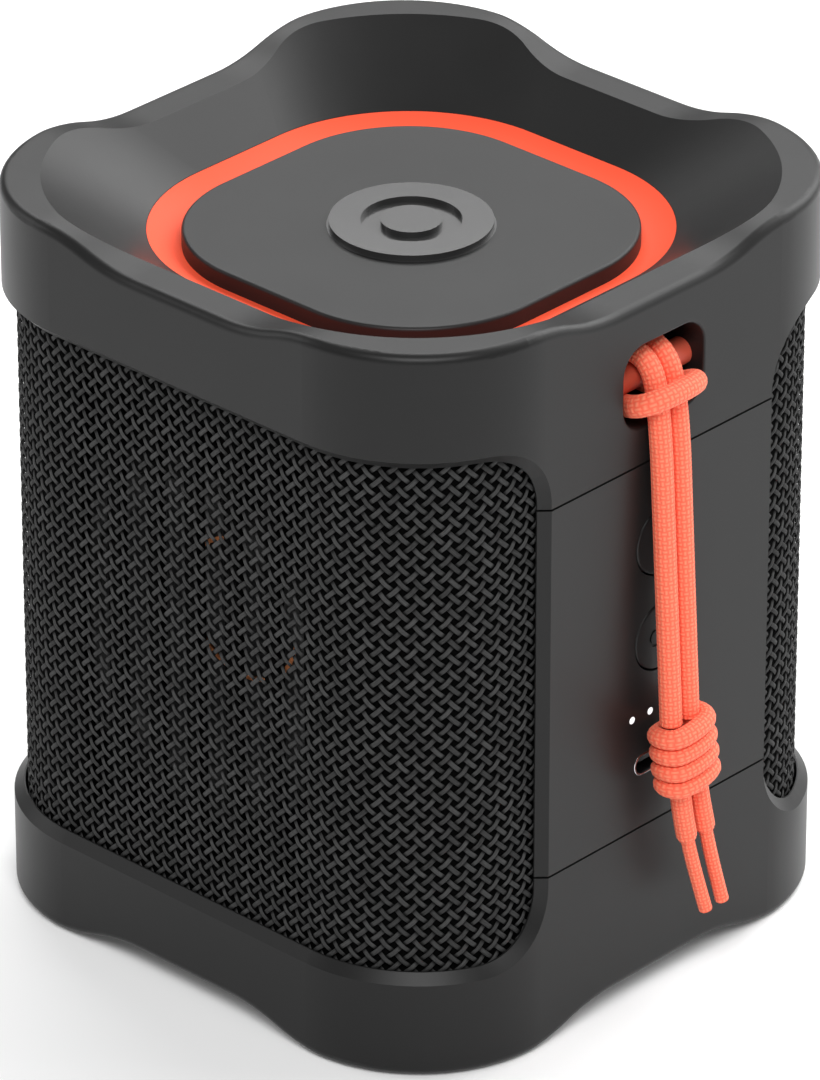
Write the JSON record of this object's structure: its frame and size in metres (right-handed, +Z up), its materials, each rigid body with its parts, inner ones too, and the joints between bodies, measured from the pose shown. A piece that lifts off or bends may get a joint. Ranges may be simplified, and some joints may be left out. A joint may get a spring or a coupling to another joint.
{
  "type": "portable bluetooth speaker",
  "caption": "Rounded-square portable speaker with a passive radiator in its dished top, a wrap-round woven grille, a control strip with buttons and a knotted wrist lanyard.",
  "frame": {"origin": "centre of the footprint, at the height of the feet", "axes": "+Z up along the column, +X out of the control strip with the lanyard, -Y out of the driver's grille"},
  "size_m": [0.0954, 0.0874, 0.1044],
  "materials": {
    "shell_plastic": "fine soft-touch grain",
    "panel_plastic": "fine soft-touch grain",
    "grille_fabric": "plain weave on the diagonal",
    "cage_plastic": "matt",
    "plate_plastic": "fine grain",
    "emblem_plastic": "satin",
    "coral_rubber": "matt",
    "coral_cord": "small braid",
    "coral_plastic": "satin",
    "black_rubber": "matt",
    "black_foam": "open foam",
    "light_plastic": "milky",
    "led_resin": "clear resin",
    "plated_steel": "bright",
    "dark_steel": "black zinc",
    "board_laminate": "solder mask",
    "chip_resin": "matt",
    "cell_can": "shrink-wrapped",
    "nickel_strip": "bright",
    "ferrite": "ground",
    "copper": "enamelled",
    "cone_paper": "pressed pulp",
    "wire_sleeve": "satin"
  },
  "bodies": {
    "enclosure": {"amplifier_chip": "chip_resin", "base_gasket": "black_rubber", "base_plate": "shell_plastic", "base_screws": "dark_steel", "battery_cells": "cell_can", "board_screws": "plated_steel", "bottom_cap": "shell_plastic", "cabinet": "cage_plastic", "cabinet_gasket": "black_rubber", "cell_cradle": "cage_plastic", "cell_links": "nickel_strip", "cell_wires": "wire_sleeve", "chip_capacitors": "nickel_strip", "control_panel": "panel_plastic", "damping_pad": "black_foam", "driver_basket": "dark_steel", "driver_front_plate": "plated_steel", "driver_gasket": "black_foam", "driver_magnet": "ferrite", "driver_screws": "dark_steel", "driver_spider": "black_foam", "driver_surround": "black_rubber", "driver_wires": "wire_sleeve", "driver_yoke": "plated_steel", "foot_pads": "black_rubber", "grille_cage": "cage_plastic", "grille_weave": "grille_fabric", "lanyard_cord": "coral_cord", "lanyard_knot": "coral_cord", "lanyard_post": "coral_plastic", "lanyard_sleeves": "coral_cord", "lanyard_tail_left": "coral_cord", "lanyard_tail_right": "coral_cord", "light_guide": "light_plastic", "main_board": "board_laminate", "main_chip": "chip_resin", "power_inductors": "ferrite", "radiator_clamp": "cage_plastic", "radiator_surround": "coral_rubber", "radio_shield": "plated_steel", "status_leds": "led_resin", "tact_switches": "chip_resin", "tie_screws": "dark_steel", "top_cap": "shell_plastic", "usb_port_shell": "plated_steel", "usb_port_tongue": "chip_resin", "wire_grommets": "black_rubber", "wire_sockets": "light_plastic"},
    "radiator": {"radiator_plate": "plate_plastic", "radiator_emblem": "emblem_plastic"},
    "cone": {"driver_cone": "cone_paper", "driver_dust_cap": "cone_paper", "driver_voice_coil": "copper"},
    "power_key": {"power_button": "panel_plastic"},
    "pairing_key": {"pairing_button": "panel_plastic"}
  },
  "joints": [
    {"name": "radiator_stroke", "type": "slide", "parent": "enclosure", "child": "radiator", "axis": [0, 0, 1], "range_m": [-0.002, 0.002], "stiffness_N_per_m": 600, "deforming": ["radiator_surround"]},
    {"name": "cone_stroke", "type": "slide", "parent": "enclosure", "child": "cone", "axis": [0, -1, 0], "range_m": [-0.002, 0.002], "stiffness_N_per_m": 1500, "deforming": ["driver_surround", "driver_spider"]},
    {"name": "power_press", "type": "slide", "parent": "enclosure", "child": "power_key", "axis": [-1, 0, 0], "range_m": [0, 0.0005], "stiffness_N_per_m": 3000},
    {"name": "pairing_press", "type": "slide", "parent": "enclosure", "child": "pairing_key", "axis": [-1, 0, 0], "range_m": [0, 0.0005], "stiffness_N_per_m": 3000}
  ]
}
